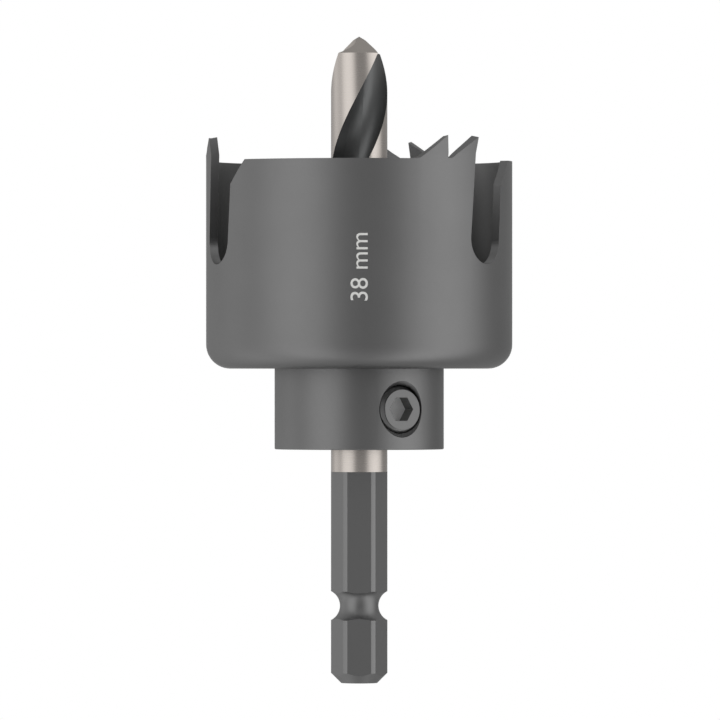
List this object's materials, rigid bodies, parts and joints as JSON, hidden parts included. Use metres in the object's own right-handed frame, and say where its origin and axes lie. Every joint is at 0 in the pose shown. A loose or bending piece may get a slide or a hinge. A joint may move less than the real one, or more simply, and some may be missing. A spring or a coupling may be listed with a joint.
{
  "type": "hole saw",
  "caption": "Cup-shaped hole saw with set teeth and leaning chip slots, a twist pilot drill through its middle, and a hex shank for a quick-change chuck.",
  "frame": {"origin": "centre of the hex shank's end face", "axes": "+Z along the axis from the shank's end to the drill's point; -Y is the side seen in the picture; the saw turns about +Z"},
  "size_m": [0.038, 0.0382, 0.0802],
  "materials": {
    "saw_cup": "drawn steel under a fine satin dark grey coat",
    "hub": "turned steel under the same satin dark grey coat",
    "pilot_drill": "tool steel, lands and neck ground bright, flutes and hex left dark",
    "set_screw": "black oxide"
  },
  "bodies": {
    "root": {"saw_cup": "saw_cup", "hub": "hub", "pilot_drill": "pilot_drill", "set_screw": "set_screw"}
  },
  "joints": []
}
